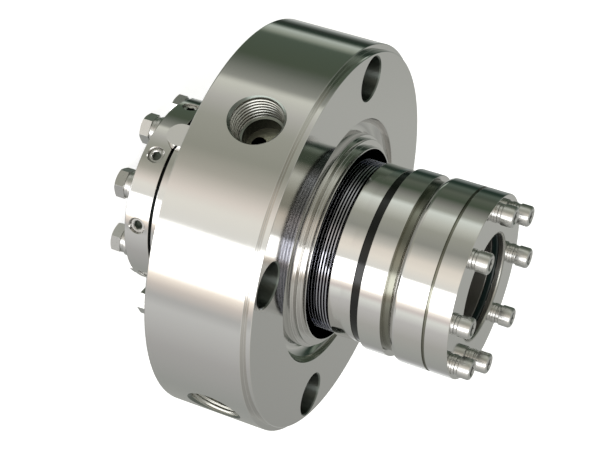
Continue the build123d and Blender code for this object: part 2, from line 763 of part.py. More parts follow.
with BuildPart() as hex_bolts:
    with BuildSketch(Plane.XY.offset(bolt_head_z)):
        with PolarLocations(hex_bolt_circle_d / 2, hex_bolt_count):
            RegularPolygon(hex_bolt_across_flats / 2, 6, major_radius=False)
    extrude(amount=-hex_bolt_head_height)
    with BuildSketch(Plane.XY.offset(bolt_head_z)):
        with PolarLocations(hex_bolt_circle_d / 2, hex_bolt_count):
            Circle(hex_bolt_d / 2)
    extrude(amount=collar_front_z + hex_bolt_grip - bolt_head_z)
finish(hex_bolts, "hex_bolts")

# Setting clips: round-ended plates screwed to the boss, each lapping over the collar's edge.
clip_mid_z = (clip_outboard_z + clip_inboard_z) / 2
clip_length = clip_inboard_z - clip_outboard_z
with BuildPart() as setting_clips:
    for angle in evenly(clip_count, clip_deg):
        with BuildSketch(radial_plane(angle, boss_r - cut_past, clip_mid_z)):
            SlotOverall(clip_length, clip_width, rotation=90)
            with Locations((0, clip_screw_z - clip_mid_z)):
                Circle(clip_screw_d / 2 + bolt_gap, mode=Mode.SUBTRACT)
        extrude(amount=clip_height + cut_past)
    with BuildSketch(Plane.XY.offset(clip_outboard_z - cut_past)):
        Circle(boss_r)
    extrude(amount=clip_length + 2 * cut_past, mode=Mode.SUBTRACT)
finish(setting_clips, "setting_clips")

with BuildPart() as clip_screws:
    for angle in evenly(clip_count, clip_deg):
        with BuildSketch(radial_plane(angle, clip_top_r, clip_screw_z)):
            Circle(clip_screw_head_d / 2)
        extrude(amount=clip_screw_head_height)
        with BuildSketch(radial_plane(angle, clip_top_r, clip_screw_z)):
            Circle(clip_screw_d / 2)
        extrude(amount=boss_r - clip_screw_length - clip_top_r)
finish(clip_screws, "clip_screws")
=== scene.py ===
"""Dresses a cartridge mechanical seal for a 50 mm shaft.

Lengths in the classes below are millimetres, and mm() turns them into Blender's metres. Heights run
along the shaft from the gland's raised mounting face, and +Z is the inboard, barrel end.
"""

from __future__ import annotations

import json
import logging
import math
from collections.abc import Iterable, Sequence
from dataclasses import dataclass
from enum import Enum

import bmesh
import bpy
import numpy as np
from bpy.types import ColorRamp, ID, Material, Mesh, Node, NodeSocket, NodeTree, Object
from mathutils import Matrix, Vector


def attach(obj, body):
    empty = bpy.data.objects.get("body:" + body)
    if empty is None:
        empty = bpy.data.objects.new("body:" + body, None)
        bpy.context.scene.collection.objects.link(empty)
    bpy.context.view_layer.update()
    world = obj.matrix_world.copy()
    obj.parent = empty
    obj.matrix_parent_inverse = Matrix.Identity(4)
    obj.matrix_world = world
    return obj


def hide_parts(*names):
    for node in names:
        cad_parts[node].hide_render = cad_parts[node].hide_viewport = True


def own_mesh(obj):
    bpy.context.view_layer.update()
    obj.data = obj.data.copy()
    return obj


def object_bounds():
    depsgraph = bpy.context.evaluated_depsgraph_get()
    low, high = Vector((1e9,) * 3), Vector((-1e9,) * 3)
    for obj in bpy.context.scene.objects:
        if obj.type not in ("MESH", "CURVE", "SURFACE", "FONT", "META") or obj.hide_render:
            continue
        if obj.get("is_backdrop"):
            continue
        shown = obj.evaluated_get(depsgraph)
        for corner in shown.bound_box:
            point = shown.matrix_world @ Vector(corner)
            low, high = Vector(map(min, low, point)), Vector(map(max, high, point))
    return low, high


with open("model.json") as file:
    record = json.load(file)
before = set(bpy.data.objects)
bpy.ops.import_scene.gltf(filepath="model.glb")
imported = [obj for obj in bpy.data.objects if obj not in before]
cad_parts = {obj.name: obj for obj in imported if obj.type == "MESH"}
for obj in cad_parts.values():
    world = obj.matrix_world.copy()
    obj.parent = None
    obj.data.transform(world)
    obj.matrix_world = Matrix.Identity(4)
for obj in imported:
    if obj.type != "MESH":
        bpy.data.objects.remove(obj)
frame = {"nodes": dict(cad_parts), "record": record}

log = logging.getLogger("cartridge_seal")

ROUND = 256          # segments round a large turned piece
SMALL_ROUND = 48     # segments round a screw or a hole
SINK_ROUND = 24      # segments round the lead-in of a screw's socket
KEY_CORNER = 1.732   # a hexagon key's width across flats, over the distance from its middle to a corner


def mm(length: float) -> float:
    """Millimetres to metres."""
    return length * 0.001


def linear(colour: str) -> tuple[float, float, float, float]:
    """Turns an sRGB hex colour into linear light.

    Args:
        colour: six hex digits after a hash sign.

    Returns:
        Linear red, green and blue, with an alpha of 1.
    """
    channels = [int(colour[i:i + 2], 16) / 255 for i in (1, 3, 5)]
    light = [c / 12.92 if c <= 0.04045 else ((c + 0.055) / 1.055) ** 2.4 for c in channels]
    return (*light, 1.0)


def add_node(
    tree: NodeTree,
    kind: str,
    settings: dict[str, object] | None = None,
    inputs: dict[int | str, object] | None = None,
) -> Node:
    """Adds one node with its settings, its fixed inputs and its links.

    Args:
        tree: the node tree that takes the node.
        kind: Blender's name of the shader node's type, without the ShaderNode before it.
        settings: attributes of the node, such as its operation.
        inputs: values by socket. An output socket is linked, and anything else is set.

    Returns:
        The new node.
    """
    node = tree.nodes.new(f"ShaderNode{kind}")
    for name, value in (settings or {}).items():
        setattr(node, name, value)
    for socket, value in (inputs or {}).items():
        if isinstance(value, NodeSocket):
            tree.links.new(value, node.inputs[socket])
        else:
            node.inputs[socket].default_value = value
    return node


def mesh_of(points: Sequence[Sequence[float]], faces: Sequence[Sequence[int]]) -> Mesh:
    """A mesh from its points in metres and its faces."""
    mesh = bpy.data.meshes.new("mesh")
    mesh.from_pydata(points, [], faces)
    mesh.update()
    return mesh


def quads(rings: int, around: int, closed: bool = False) -> list[tuple[int, int, int, int]]:
    """The faces between rings of points.

    Args:
        rings: how many rings there are.
        around: points in each ring.
        closed: whether the last ring joins the first.

    Returns:
        Four point numbers for each face.
    """
    faces = []
    for ring in range(rings if closed else rings - 1):
        here, above = ring * around, (ring + 1) % rings * around
        for k in range(around):
            after = (k + 1) % around
            faces.append((here + k, here + after, above + after, above + k))
    return faces


def linked(name: str, data: ID) -> Object:
    """Puts a new object with this data in the scene."""
    thing = bpy.data.objects.new(name, data)
    bpy.context.scene.collection.objects.link(thing)
    return thing


def evaluated(thing: Object) -> Mesh:
    """The mesh that an object's modifiers make of it."""
    bpy.context.view_layer.update()
    seen = thing.evaluated_get(bpy.context.evaluated_depsgraph_get())
    return bpy.data.meshes.new_from_object(seen)


# --- Finishes ---


@dataclass
class Shader:
    """A material that is being built, with the sockets that its nodes share."""

    name: str

    def __post_init__(self) -> None:
        """Starts an empty node tree with the object's own coordinates."""
        self.material = bpy.data.materials.new(self.name)
        self.material.use_nodes = True
        self.tree = self.material.node_tree
        self.tree.nodes.clear()
        self.place = add_node(self.tree, "TexCoord").outputs["Object"]

    def noise(
        self, size: float, detail: float, at: NodeSocket | None = None,
    ) -> NodeSocket:
        """Adds a noise pattern.

        Args:
            size: the pattern's scale in millimetres.
            detail: how many finer layers it has.
            at: two coordinates, or nothing for the object's own place.

        Returns:
            Its strength from 0 to 1.
        """
        settings = {"noise_dimensions": "2D"} if at else None
        return add_node(self.tree, "TexNoise", settings,
                        {"Vector": at or self.place, "Scale": 1 / mm(size), "Detail": detail}).outputs["Fac"]

    def spread(self, value: NodeSocket, low: float, high: float,
               seen: tuple[float, float] = (0.0, 1.0)) -> NodeSocket:
        """Maps a value's seen range to one from low to high."""
        return add_node(self.tree, "MapRange", None, {
            "Value": value, "From Min": seen[0], "From Max": seen[1], "To Min": low, "To Max": high,
        }).outputs[0]

    def finish(self, relief: NodeSocket, depth: float, **inputs: object) -> Node:
        """Adds the surface with its relief.

        Args:
            relief: the pattern that stands out.
            depth: the relief's depth in millimetres.
            inputs: the surface's values, with an underscore for each space in their names.

        Returns:
            The surface's node.
        """
        bump = add_node(self.tree, "Bump", None,
                        {"Height": relief, "Distance": mm(depth), "Strength": 1.0})
        values = {name.replace("_", " "): value for name, value in inputs.items()}
        surface = add_node(self.tree, "BsdfPrincipled", None, {**values, "Normal": bump.outputs[0]})
        add_node(self.tree, "OutputMaterial", None, {"Surface": surface.outputs[0]})
        return surface


@dataclass(frozen=True)
class TurnedSteel:
    """Austenitic stainless steel, machined on a lathe.

    The tool leaves fine rings round the axis, which blur reflections a little across the rings and
    give flat faces a soft sheen.
    """

    name: str
    colour: str = "#dcdbd9"
    roughness: float = 0.08
    ring_pitch: float = 0.35       # coarser than the real 0.1 mm feed, so that it shows
    ring_depth: float = 0.0015
    blotch_size: float = 14.0

    def material(self) -> Material:
        """Builds the shader, its rings following the radius and the height on the lathe."""
        shader = Shader(self.name)
        parts = add_node(shader.tree, "SeparateXYZ", inputs={0: shader.place}).outputs
        flat = add_node(shader.tree, "CombineXYZ", inputs={0: parts[0], 1: parts[1]})
        length = add_node(shader.tree, "VectorMath", {"operation": "LENGTH"}, {0: flat.outputs[0]})
        radius = length.outputs["Value"]
        lathe = add_node(shader.tree, "CombineXYZ", inputs={0: radius, 1: parts[2]})
        rings = shader.noise(self.ring_pitch, 2.0, lathe.outputs[0])
        rough = add_node(shader.tree, "Math", {"operation": "MULTIPLY"}, {
            0: shader.spread(rings, self.roughness * 0.8, self.roughness * 1.2),
            1: shader.spread(shader.noise(self.blotch_size, 3.0), 0.9, 1.12, (0.35, 0.65)),
        })
        shader.finish(rings, self.ring_depth, Base_Color=linear(self.colour), Metallic=1.0,
                      Roughness=rough.outputs[0])
        return shader.material


@dataclass(frozen=True)
class PlainMetal:
    """Metal with no lathe rings, such as rolled sheet, a drilled wall or a cold-headed fastener.

    Its fine grain breaks reflections up, so that it looks softer and greyer than turned steel.
    """

    name: str
    colour: str
    roughness: float
    grain_size: float = 0.6
    grain_depth: float = 0.003
    streak: float = 0.0            # how far light is drawn out along the shaft

    def material(self) -> Material:
        """Builds the shader."""
        shader = Shader(self.name)
        grain = shader.noise(self.grain_size, 3.0)
        surface = shader.finish(
            grain, self.grain_depth, Base_Color=linear(self.colour), Metallic=1.0,
            Roughness=shader.spread(grain, self.roughness * 0.75, self.roughness * 1.25),
        )
        if self.streak:
            along = add_node(shader.tree, "CombineXYZ", None, {"Z": 1.0}).outputs[0]
            shader.tree.links.new(along, surface.inputs["Tangent"])
            surface.inputs["Anisotropic"].default_value = self.streak
        return shader.material


@dataclass(frozen=True)
class DullSolid:
    """A dark non-metal: lapped silicon carbide, carbon graphite or black rubber.

    A little mottle keeps its black from looking flat.
    """

    name: str
    colour: str
    roughness: float
    index: float = 1.5
    grain_size: float = 0.4
    grain_depth: float = 0.004
    mottle: float = 0.25

    def material(self) -> Material:
        """Builds the shader."""
        shader = Shader(self.name)
        grain = shader.noise(self.grain_size, 4.0)
        base = linear(self.colour)[:3]
        shares = (1 - self.mottle, 1 + self.mottle)
        darker, lighter = (tuple(c * share for c in base) + (1.0,) for share in shares)
        colour = add_node(shader.tree, "Mix", {"data_type": "RGBA"},
                          {0: grain, 6: darker, 7: lighter})
        shader.finish(grain, self.grain_depth, Base_Color=colour.outputs[2], Roughness=self.roughness,
                      IOR=self.index)
        return shader.material


class Finish(Enum):
    """The finishes on this seal, each with what it gives the eye."""

    # Finely turned and polished bar: near mirrors with sharp bands of light and dark.
    GLAND_STEEL = TurnedSteel("turned_stainless_gland", roughness=0.09)
    BARREL_STEEL = TurnedSteel("turned_stainless_barrel", roughness=0.07, ring_pitch=0.3)
    # Drilled walls and sockets: a darker, greener steel that paints the shade deep in holes, with one light
    # streak along the hole from the stretched gleam.
    DRILLED_SHADED_STEEL = PlainMetal("drilled_stainless_painted_shade", "#7d837d", 0.32, streak=0.9)
    # Cut by a drill's end: a pale, flat gleam at the ports' floors.
    FLOOR_STEEL = PlainMetal("end_cut_stainless", "#d0d1bc", 0.35)
    # Grooves: turned steel in a darker colour, which paints the shade that falls in the neck and the joint
    # groove.
    SHADED_GROOVE_STEEL = TurnedSteel("groove_steel_painted_shade", colour="#86867b", roughness=0.16)
    # Bored with a long bar: coarser rings and a broad, soft gleam.
    BORE_STEEL = TurnedSteel("bored_stainless", colour="#b4b3ae", roughness=0.3, ring_pitch=0.5)
    # Near-black steel: painted shade for parts deep inside the seal and for the ports' deep bores.
    SHADE_BLACK_STEEL = PlainMetal("painted_shade_black_steel", "#1c201f", 0.4)
    # Rolled, pressed and welded sheet: bluish, nearly a mirror.
    LEAF_STEEL = PlainMetal("welded_leaf_alloy", "#c9cad6", 0.12)
    # Cold-headed and tumbled: soft, even grey highlights.
    SCREW_STEEL = PlainMetal("cold_headed_stainless", "#d3d3d1", 0.3)
    # Tapped: each flank catches a fine line of light.
    THREAD_STEEL = PlainMetal("cut_thread_stainless", "#b9b9b3", 0.3)
    # Sintered and lapped: black, with a weak clear reflection.
    CARBIDE = DullSolid("lapped_silicon_carbide", "#040605", 0.12, 1.45)
    # Resin-filled graphite, lapped: dark grey and matt.
    CARBON = DullSolid("impregnated_carbon", "#2e3230", 0.36)
    # Moulded rubber: black, with a faint broad gleam.
    RUBBER = DullSolid("fluoroelastomer", "#141817", 0.42)
    # Moulded and cut rubber: a green-black ring with a narrower gleam.
    PACKING = DullSolid("shaft_packing_rubber", "#10201f", 0.3)


_made: dict[Finish, Material] = {}


def material_of(finish: Finish) -> Material:
    """The one material of a finish, made the first time that it is asked for.

    Args:
        finish: the finish.

    Returns:
        Its material.
    """
    if finish not in _made:
        _made[finish] = finish.value.material()
    return _made[finish]


# --- Turned outlines ---


@dataclass(frozen=True)
class Corner:
    """A corner of a turned outline: its radius, its height and how far its edge is broken.

    Its zone says which of the piece's finishes the stretch after it has.
    """

    r: float
    z: float
    ease: float = 0.15
    zone: int = 0


@dataclass(frozen=True)
class Stretch:
    """A straight bit of outline between two points, with the surface normal at each end."""

    start: tuple[float, float]
    end: tuple[float, float]
    start_normal: tuple[float, float]
    end_normal: tuple[float, float]
    zone: int = 0


def unit(x: float, y: float) -> tuple[float, float]:
    """A plane vector at length 1."""
    size = math.hypot(x, y)
    return (x / size, y / size)


def eased(rows: Iterable[Sequence[float]], steps: int = 3) -> list[Stretch]:
    """Rounds the corners of a closed outline.

    Args:
        rows: the outline's corners in order, either way round, each as the values of a Corner.
        steps: facets in each rounded corner.

    Returns:
        The outline as stretches, each with the normals that shade it as flat or round.
    """
    corners = [Corner(*row) for row in rows]
    count = len(corners)
    turn = sum(corners[i - 1].r * corners[i].z - corners[i].r * corners[i - 1].z for i in range(count))
    zones = [corner.zone for corner in corners]
    if turn < 0:
        corners = list(reversed(corners))
        zones = [corners[(i + 1) % count].zone for i in range(count)]
    cuts = []
    for i, corner in enumerate(corners):
        before, after = corners[i - 1], corners[(i + 1) % count]
        back = unit(before.r - corner.r, before.z - corner.z)
        ahead = unit(after.r - corner.r, after.z - corner.z)
        room = min(math.dist((before.r, before.z), (corner.r, corner.z)),
                   math.dist((after.r, after.z), (corner.r, corner.z))) * 0.45
        ease = min(corner.ease, room)
        start = (corner.r + back[0] * ease, corner.z + back[1] * ease)
        end = (corner.r + ahead[0] * ease, corner.z + ahead[1] * ease)
        cuts.append((start, end, (-back[1], back[0]), (ahead[1], -ahead[0]), ease))
    stretches = []
    for i, (start, end, normal_in, normal_out, ease) in enumerate(cuts):
        if ease > 0:
            middle = (corners[i].r, corners[i].z)
            points, normals = [], []
            for t in (step / steps for step in range(steps + 1)):
                keep, pull = (1 - t) ** 2, 2 * t * (1 - t)
                points.append(tuple(keep * a + pull * b + t * t * c for a, b, c in zip(start, middle, end)))
                normals.append(unit(*(a * (1 - t) + b * t for a, b in zip(normal_in, normal_out))))
            stretches += [Stretch(*ends, *shades, zones[i])
                          for ends, shades in zip(zip(points, points[1:]), zip(normals, normals[1:]))]
        following = cuts[(i + 1) % count]
        if math.dist(end, following[0]) > 1e-6:
            stretches.append(Stretch(end, following[0], normal_out, normal_out, zones[i]))
    return stretches


def turned_mesh(stretches: Sequence[Stretch], segments: int = ROUND) -> Mesh:
    """Turns an outline about Z, and gives the mesh the outline's own normals.

    Args:
        stretches: a closed outline in millimetres.
        segments: facets round the axis.

    Returns:
        The mesh, in metres.
    """
    angles = np.linspace(0, 2 * math.pi, segments, endpoint=False)
    points = [
        (mm(s.start[0]) * c, mm(s.start[0]) * n, mm(s.start[1]))
        for s in stretches for c, n in zip(np.cos(angles), np.sin(angles))
    ]
    mesh = mesh_of(points, quads(len(stretches), segments, closed=True))
    shade_turned(mesh, stretches)
    return mesh


def shade_turned(
    mesh: Mesh, stretches: Sequence[Stretch], cut_zone: int = 0, centre_gap: float = 2e-3,
) -> None:
    """Gives each face that lies on the turned outline the outline's exact normals and its zone.

    Faces that a cut has made keep normals that are smooth up to 35 degrees.

    Args:
        mesh: the mesh in metres.
        stretches: the outline in millimetres.
        cut_zone: the zone of the faces that a cut has made.
        centre_gap: how far, in millimetres, a corner may lie from its stretch.
    """
    if "custom_normal" in mesh.attributes:
        mesh.attributes.remove(mesh.attributes["custom_normal"])
    mesh.polygons.foreach_set("use_smooth", [True] * len(mesh.polygons))
    mesh.set_sharp_from_angle(angle=math.radians(35))
    normals = [tuple(n.vector) for n in mesh.corner_normals]
    verts = np.empty(len(mesh.vertices) * 3)
    mesh.vertices.foreach_get("co", verts)
    verts = verts.reshape(-1, 3) * 1000
    radii = np.hypot(verts[:, 0], verts[:, 1])
    start = np.array([s.start for s in stretches])
    along = np.array([s.end for s in stretches]) - start
    length = np.maximum((along ** 2).sum(1), 1e-18)
    first = np.array([s.start_normal for s in stretches])
    last = np.array([s.end_normal for s in stretches])
    for face in mesh.polygons:
        corners = list(face.vertices)
        rz = np.stack([radii[corners], verts[corners, 2]], axis=1)
        share = ((rz[:, None, :] - start) * along).sum(2) / length
        held = np.clip(share, 0, 1)
        miss = np.linalg.norm(rz[:, None, :] - start - held[:, :, None] * along, axis=2).max(0)
        best = int(miss.argmin())
        slack = centre_gap + radii[corners].max() * (1 - math.cos(math.pi / ROUND)) * 1.05
        face.material_index = cut_zone
        if miss[best] > slack:
            continue
        face.material_index = stretches[best].zone
        across = Vector(face.normal)
        for loop, vertex, t in zip(face.loop_indices, corners, held[:, best]):
            outline = first[best] * (1 - t) + last[best] * t
            r = max(radii[vertex], 1e-9)
            x, y = verts[vertex, :2]
            normal = Vector((outline[0] * x / r, outline[0] * y / r, outline[1]))
            if normal.dot(across) < 0.7:
                face.material_index = cut_zone
                break
            normals[loop] = tuple(normal.normalized())
    mesh.normals_split_custom_set(normals)


# --- Solid shapes and cuts ---


def prism_mesh(
    sides: int, radius: float, low: float, high: float, turn: float = 0.0,
) -> Mesh:
    """A closed prism about Z.

    Args:
        sides: its number of sides.
        radius: the distance from the axis to a corner, in millimetres.
        low: the lower end's height.
        high: the upper end's height.
        turn: the first corner's angle in degrees.

    Returns:
        The mesh, in metres.
    """
    return stepped_mesh(sides, [(radius, low), (radius, high)], turn)


def stepped_mesh(
    sides: int, outline: Sequence[tuple[float, float]], turn: float = 0.0,
    flute: float = 0.0, fluted: Sequence[int] = (),
) -> Mesh:
    """A closed solid about Z from rings of corners, with flat ends.

    Args:
        sides: corners in each ring.
        outline: the rings' radii and heights in millimetres, from the lowest.
        turn: the first corner's angle in degrees.
        flute: how much every second corner of a fluted ring is pulled in.
        fluted: which rings are fluted.

    Returns:
        The mesh, in metres.
    """
    points = []
    for ring, (radius, height) in enumerate(outline):
        for k in range(sides):
            angle = math.radians(turn) + 2 * math.pi * k / sides
            r = radius - (flute if ring in fluted and k % 2 else 0.0)
            points.append((mm(r) * math.cos(angle), mm(r) * math.sin(angle), mm(height)))
    ends = [tuple(reversed(range(sides))), tuple(range(len(points) - sides, len(points)))]
    return mesh_of(points, ends + quads(len(outline), sides))


def combined(base: Mesh, tool: Mesh, operation: str) -> Mesh:
    """Combines two closed meshes.

    Args:
        base: the mesh that is kept.
        tool: the mesh that cuts or is added.
        operation: DIFFERENCE, INTERSECT or UNION.

    Returns:
        The result as a new mesh.
    """
    kept, other = linked("kept", base), linked("other", tool)
    change = kept.modifiers.new("cut", "BOOLEAN")
    change.operation = operation
    change.solver = "EXACT"
    change.object = other
    mesh = evaluated(kept)
    bpy.data.objects.remove(kept)
    bpy.data.objects.remove(other)
    return mesh


def joined(meshes: Iterable[tuple[Mesh, Matrix]]) -> Mesh:
    """Joins placed copies of meshes into one, keeping their own normals.

    Args:
        meshes: each mesh with the place of its copy.

    Returns:
        The joined mesh.
    """
    points: list[Vector] = []
    faces: list[tuple[int, ...]] = []
    normals: list[Vector] = []
    for mesh, place in meshes:
        base = len(points)
        points.extend(place @ v.co for v in mesh.vertices)
        turn = place.to_3x3()
        corner_normals = mesh.corner_normals
        for face in mesh.polygons:
            faces.append(tuple(base + v for v in face.vertices))
            normals.extend((turn @ corner_normals[i].vector).normalized() for i in face.loop_indices)
    result = mesh_of(points, faces)
    result.polygons.foreach_set("use_smooth", [True] * len(result.polygons))
    result.normals_split_custom_set(normals)
    return result


def smoothed(mesh: Mesh, degrees: float = 35) -> Mesh:
    """Smooths a mesh across edges under an angle, and returns it."""
    mesh.polygons.foreach_set("use_smooth", [True] * len(mesh.polygons))
    mesh.set_sharp_from_angle(angle=math.radians(degrees))
    return mesh


def softened(mesh: Mesh, width: float, steps: int = 2) -> Mesh:
    """Bevels a mesh's sharp edges, and shades its faces by their area.

    Args:
        mesh: the mesh in metres.
        width: the bevel in millimetres.
        steps: facets in the bevel.

    Returns:
        The result as a new mesh.
    """
    thing = linked("soften", smoothed(mesh))
    bevel = thing.modifiers.new("bevel", "BEVEL")
    bevel.width = mm(width)
    bevel.segments = steps
    bevel.limit_method = "ANGLE"
    bevel.angle_limit = math.radians(30)
    bevel.harden_normals = True
    result = evaluated(thing)
    bpy.data.objects.remove(thing)
    return result


def round_places(count: int, radius: float, first_deg: float, height: float = 0.0) -> list[Matrix]:
    """Places spread evenly on a circle about the shaft.

    Args:
        count: the number of places.
        radius: the circle's radius in millimetres.
        first_deg: the first place's angle.
        height: the circle's height in millimetres.

    Returns:
        A matrix for each place, turned with it about Z.
    """
    places = []
    for i in range(count):
        angle = math.radians(first_deg + 360 * i / count)
        spot = Matrix.Translation((mm(radius) * math.cos(angle), mm(radius) * math.sin(angle), mm(height)))
        places.append(spot @ Matrix.Rotation(angle, 4, "Z"))
    return places


def outward_place(angle_deg: float, radius: float, height: float) -> Matrix:
    """A place whose own Z points away from the shaft, and whose Y runs along the shaft.

    Args:
        angle_deg: its angle about the shaft.
        radius: its distance from the shaft in millimetres.
        height: its height in millimetres.

    Returns:
        The matrix of the place.
    """
    angle = math.radians(angle_deg)
    out = Vector((math.cos(angle), math.sin(angle), 0))
    up = Vector((0, 0, 1))
    side = up.cross(out)
    rotation = Matrix((side, up, out)).transposed().to_4x4()
    return Matrix.Translation((mm(radius) * out.x, mm(radius) * out.y, mm(height))) @ rotation


# --- Putting pieces on the frame ---


def put(
    name: str, mesh: Mesh, finish: Finish, body: str, others: tuple[Finish, ...] = (),
) -> Object:
    """Puts one dressed piece in the scene.

    Args:
        name: its name.
        mesh: its mesh in metres.
        finish: its main finish.
        body: the body that it moves with.
        others: the finishes of the mesh's zones from 1 up.

    Returns:
        The piece's object.
    """
    thing = linked(name, mesh)
    mesh.name = name
    zones = [face.material_index for face in mesh.polygons]
    mesh.materials.clear()
    for each in (finish, *others):
        mesh.materials.append(material_of(each))
    mesh.polygons.foreach_set("material_index", zones)
    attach(thing, body)
    log.info("%s: %d faces on %s", name, len(mesh.polygons), body)
    return thing


def dress(
    node: str, mesh: Mesh, finish: Finish, body: str,
    others: tuple[Finish, ...] = (),
) -> Object:
    """Puts the piece that stands for one node in the scene, named after that node.

    The other values are those of put().
    """
    thing = put(f"{node}_dressed", mesh, finish, body, others)
    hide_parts(node)
    return thing


def dress_copies(
    node: str, mesh: Mesh, places: Iterable[Matrix],
) -> None:
    """Places one piece made of copies of a small steel part, for one node of the rotor."""
    dress(node, joined([(mesh, place) for place in places]), Finish.SCREW_STEEL, "rotor")


def ring_mesh(
    radii: tuple[float, float], heights: tuple[float, float], eases: tuple[float, float],
    steps: int = 2, segments: int = SMALL_ROUND,
) -> Mesh:
    """A washer about Z.

    Args:
        radii: the hole's and the rim's.
        heights: the lower and the upper face's.
        eases: how far the rim's lower and upper edges are broken.
        steps: facets in each rounded edge.
        segments: facets round the axis.

    Returns:
        The mesh, in metres.
    """
    bore, rim = radii
    low, high = heights
    return turned_mesh(eased([
        (bore, low, 0.1), (rim, low, eases[0]),
        (rim, high, eases[1]), (bore, high, 0.1),
    ], steps), segments)


def paint(
    mesh: Mesh, places: Iterable[Matrix], radius: float, low: float, high: float, zone: int,
) -> None:
    """Gives the faces round some local Z axes another zone.

    Args:
        mesh: the mesh in metres.
        places: the frames of those axes.
        radius: how far from its axis a face may lie, in millimetres.
        low, high: the heights along the axis between which a face's middle lies, in millimetres.
        zone: the zone that the faces get.
    """
    for place in places:
        back = place.inverted()
        for face in mesh.polygons:
            middle = back @ face.center
            if mm(low) <= middle.z <= mm(high) and math.hypot(middle.x, middle.y) < mm(radius):
                face.material_index = zone


def dress_node(node: str, finish: Finish) -> None:
    """Gives a node's own mesh a finish.

    Args:
        node: the node's name.
        finish: its finish.
    """
    thing = frame["nodes"][node]
    if not thing.material_slots:
        thing.data.materials.append(material_of(finish))
    for place in thing.material_slots:
        place.material = material_of(finish)
    log.info("%s: own mesh, %s", node, finish.name.lower())


def mount(name: str) -> dict:
    """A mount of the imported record, by its name."""
    return next(m for m in frame["record"]["mounts"] if m["name"] == name)


# --- The gland ---


